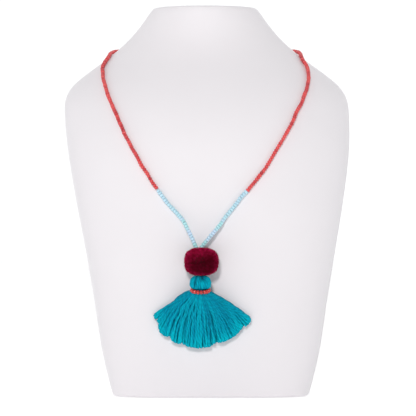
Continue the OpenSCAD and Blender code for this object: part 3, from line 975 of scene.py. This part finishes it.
# How far a strand sinks under its neighbours, in millimetres, and how much painted shade darkens it
SUNK = (0, 0, 0.1, 0.22)
SKIRT_L = 44.7 * MM
FAN = math.radians(62)
SKIRT_DEEP = 12 * MM
# How far the strands begin above the ring's middle, and how far off the chest they stay
SKIRT_UP = 0.3 * MM
SKIRT_OFF = 0.3 * MM
# How much thinner the fan is at its sides and at its hem
THIN = 0.4
THIN_END = 0.3
# Locks from the left to the right: their left and right edges as shares of FAN,
# their length as a share of SKIRT_L, and how much shorter they are at the edges
LOCKS = [
    (-1.0, -0.88, 0.907, 0.11), (-0.88, -0.78, 0.91, 0.05), (-0.78, -0.53, 0.985, 0.07),
    (-0.53, -0.29, 0.985, 0.07), (-0.29, 0.2, 0.98, 0.02), (0.2, 0.29, 0.935, 0.02),
    (0.29, 0.84, 0.965, 0.03), (0.84, 1.0, 1.0, 0.07),
]
# Fall of the strands from the left to the right: the place across the fan, how
# much flatter than its end's angle a strand sets out, and how far it does
FALLS = [
    (-1.0, 1.01, 0.42), (-0.88, 0.97, 0.44), (-0.87, 1.55, 0.3), (-0.6, 1.95, 0.34), (-0.3, 2.1, 0.4),
    (0.0, 1.5, 0.4), (0.5, 1.35, 0.4), (0.85, 1.22, 0.4), (1.0, 1.03, 0.42),
]


def chest_y(x, z):
    """Y of the bust's front at a place, found from well in front of it."""
    return skin.ray_cast(Vector((x, -0.3, z)), Vector((0, 1, 0)))[0].y


def fall(u):
    """How a strand sets out, at a place across the fan from -1 at its left to 1 at its right."""
    for (a, arch_a, bend_a), (b, arch_b, bend_b) in zip(FALLS, FALLS[1:]):
        if u <= b:
            t = (u - a) / (b - a)
            return arch_a + (arch_b - arch_a) * t, bend_a + (bend_b - bend_a) * t


draw = random.Random(SKIRT_SEED)
ring_z = ring_middle.z
rows = []
for i in range(LAYERS * LAYER_STRANDS):
    layer, place = divmod(i, LAYER_STRANDS)
    u = -1 + 2 * (place + 0.5 + draw.uniform(-0.35, 0.35)) / LAYER_STRANDS
    depth = -1 + 2 * layer / (LAYERS - 1)
    tuck = draw.choice(TUCKED) if layer else TUCKED[place % len(TUCKED)]
    left, right, long, shorter = [row for row in LOCKS if u <= row[1]][0]
    middle = (left + right) / 2
    u_end = u - 0.01 * abs(u) + draw.uniform(0.02, 0.12) * (middle - u) + draw.gauss(0, 0.012)
    sunk = draw.choice(SUNK) * (1 - 0.5 * min(u, 0))
    angle, angle_end = u * FAN, u_end * FAN
    edge = abs(u - middle) / (right - left) * 2
    reach = SKIRT_L * long * (1 - shorter * edge**3) * draw.uniform(0.982, 1.003)
    start_x = axis_x + NECK_R * 0.85 * u
    start_y = axis_y + NECK_R * 0.8 * depth * math.sqrt(1 - 0.8 * u * u)
    start = Vector((start_x, start_y, ring_z + SKIRT_UP + (start_y - axis_y) * math.tan(RING_TILT)))
    arch, bend = fall(u)
    bend = start + bend * SKIRT_L * Vector((math.sin(arch * angle), 0, -math.cos(arch * angle)))
    tip = Vector((axis_x + reach * math.sin(angle_end), 0, ring_z - reach * math.cos(angle_end)))
    deep = SKIRT_DEEP / 2 * (1 - THIN * u_end * u_end)
    own = Vector((draw.uniform(0, 50), draw.uniform(0, 50), 3))
    tone = draw.uniform(0.1, 0.75)
    line, radii, shade_marks, tones = [], [], [], []
    for k in range(STRAND_ROWS):
        t = k / (STRAND_ROWS - 1)
        spot = (1 - t) ** 2 * start + 2 * t * (1 - t) * bend + t * t * tip
        together = noise.noise(Vector((u * 2.5, t * 2, 0))) * 0.6
        swing = together + noise.noise(own + Vector((t * 6.5, 0, 0))) * 1.2
        sideways = Vector((math.cos(angle), 0, math.sin(angle)))
        spot += sideways * swing * MM * min(1, t * 2.5) * (1 - 0.6 * u * u)
        half = deep * (1 - THIN_END * t)
        front = chest_y(spot.x, spot.z)
        settled = front - SKIRT_OFF - half + depth * (half - STRAND_R)
        settled += (noise.noise(own + Vector((t * 4, 9, 0))) * 0.5 + sunk) * MM * t + tuck * (1 - t) ** 1.5
        ease = min(t * 1.3, 1)
        ease = ease * ease * (3 - 2 * ease)
        y = min(start.y + tuck + (settled - start.y - tuck) * ease, front - STRAND_R * 1.1)
        line.append(Vector((spot.x, y, spot.z)))
        radii.append(STRAND_R * min(1, 0.5 + 1.2 * t) * (1 + 1.2 * max(0, t - 0.9)))
        # Painted shade: darker just below the ring and on the strands that lie under others
        shade_marks.append((0.8 + 0.2 * min(1, t * 5)) * (1 - sunk * min(1, 3 * t, 3 * (1 - t))))
        tones.append(tone + 3.2 * max(0, t - 0.8))
    rows.append((line, radii, shade_marks, tones, Vector((0, -1, 0))))
skirt = strands("tassel_skirt", rows)
wear(skirt, teal_yarn, "teal_yarn")
bpy.data.objects.remove(straight)

# Bead ring
# A ring of 17 coral seed beads on a brown thread, drawn tight round the neck
# between the head and the skirt. It dips towards the front.
RING_SEED = 9
RING_BEADS = 17
RING_BEAD_R = 1.5 * MM
RING_GAP = 0.3 * MM
RING_R = NECK_R + RING_GAP + RING_BEAD_R
RING_BEAD_L = 2 * math.pi * RING_R / RING_BEADS * 0.97
CORAL = (0.80, 0.07, 0.052)
CORAL_DEEP = (0.52, 0.033, 0.035)
THREAD_BROWN = (0.20, 0.09, 0.04)
tilt = Matrix.Translation((axis_x, axis_y, ring_z)) @ Matrix.Rotation(RING_TILT, 4, "X")


def on_ring(turn):
    """The place on the level ring at a turn from its right."""
    return Vector((RING_R * math.cos(turn), RING_R * math.sin(turn), 0))


draw = random.Random(RING_SEED)
coral_bead = seed_bead("coral_seed_bead", RING_BEAD_R, HOLE_R, RING_BEAD_L)
rows = []
for i in range(RING_BEADS):
    turn = 2 * math.pi * (i + draw.uniform(-0.06, 0.06)) / RING_BEADS
    width = draw.uniform(0.95, 1.03)
    way = towards(Vector((-math.sin(turn), math.cos(turn), 0)))
    askew = Matrix.Rotation(draw.gauss(0, math.radians(5)), 4, "X")
    size = Matrix.Diagonal((width, width, draw.uniform(0.94, 1.02), 1))
    place = tilt @ Matrix.Translation(on_ring(turn)) @ way @ askew @ size
    rows.append((coral_bead, place, draw.uniform(0, 0.7)))
coral_beads = copies("coral_ring_beads", rows)
wear(coral_beads, glass("coral_glass", CORAL, CORAL_DEEP, 0.1), "coral_glass", "bead_ring")
circle = [tilt @ on_ring(2 * math.pi * k / 60) for k in range(61)]
ring_thread = tube("ring_thread", [circle], THREAD_R)
wear(ring_thread, thread_material("brown_thread", THREAD_BROWN, 0.6), "coral_glass")

# Floor and light
# A white floor in a white room that is brighter behind the bust, and one soft
# light in front, a little to the left and above.
FLOOR_SIZE = 12
FLOOR_WHITE = (0.8, 0.8, 0.8)
# How brightly the floor glows, and how much more where it is seen directly
FLOOR_GLOW = 0.32
FLOOR_SEEN = 0.14
KEY_FROM = Vector((-0.26, -2.34, 0.94))
KEY_TO = Vector((0, 0, 0.16))
KEY_SIZE = 0.36
KEY_POWER = 25.6
KEY_WHITE = (1, 0.985, 0.975)
# How bright the room is in front of the bust, behind it, and where it is seen directly
ROOM_WHITE = (0.985, 0.995, 1)
ROOM_FRONT = 0.2
ROOM_BACK = 1.0
SEEN_WHITE = 1.1
bpy.ops.object.select_all(action="DESELECT")
bpy.ops.mesh.primitive_plane_add(size=FLOOR_SIZE, location=(0, 0, 0))
floor = bpy.context.object
floor.name = "floor"
floor_white = new_material("floor_white", FLOOR_WHITE, 0.9)
tree = floor_white.node_tree
seen = add(tree, "ShaderNodeLightPath").outputs["Is Camera Ray"]
glow = add(tree, "ShaderNodeMath", {0: seen, 1: FLOOR_SEEN, 2: FLOOR_GLOW}, operation="MULTIPLY_ADD")
surface(floor_white, {"Emission Strength": glow.outputs["Value"], "Emission Color": (1, 1, 1, 1)})
surface(floor_white, {"Specular IOR Level": 0})
floor.data.materials.append(floor_white)

bpy.ops.object.light_add(type="AREA", location=KEY_FROM)
key = bpy.context.object
key.name = "key_light"
key.data.shape = "DISK"
key.data.size = KEY_SIZE
key.data.energy = KEY_POWER
key.data.color = KEY_WHITE
key.rotation_mode = "QUATERNION"
key.rotation_quaternion = (KEY_TO - KEY_FROM).to_track_quat("-Z", "Y")

world = bpy.data.worlds.new("white_room")
world.use_nodes = True
bpy.context.scene.world = world
tree = world.node_tree
way = add(tree, "ShaderNodeTexCoord").outputs["Generated"]
back = add(tree, "ShaderNodeSeparateXYZ", {"Vector": way}).outputs["Y"]
rise = {"Value": back, "From Min": -0.6, "From Max": 0.2, "To Min": ROOM_FRONT, "To Max": ROOM_BACK}
behind = add(tree, "ShaderNodeMapRange", rise).outputs["Result"]
seen = add(tree, "ShaderNodeLightPath").outputs["Is Camera Ray"]
strength = add(tree, "ShaderNodeMix", {"Factor": seen, "A": behind, "B": SEEN_WHITE}).outputs["Result"]
feed(tree, tree.nodes["Background"], {"Color": (*ROOM_WHITE, 1), "Strength": strength})
bpy.context.scene.view_settings.view_transform = "Standard"
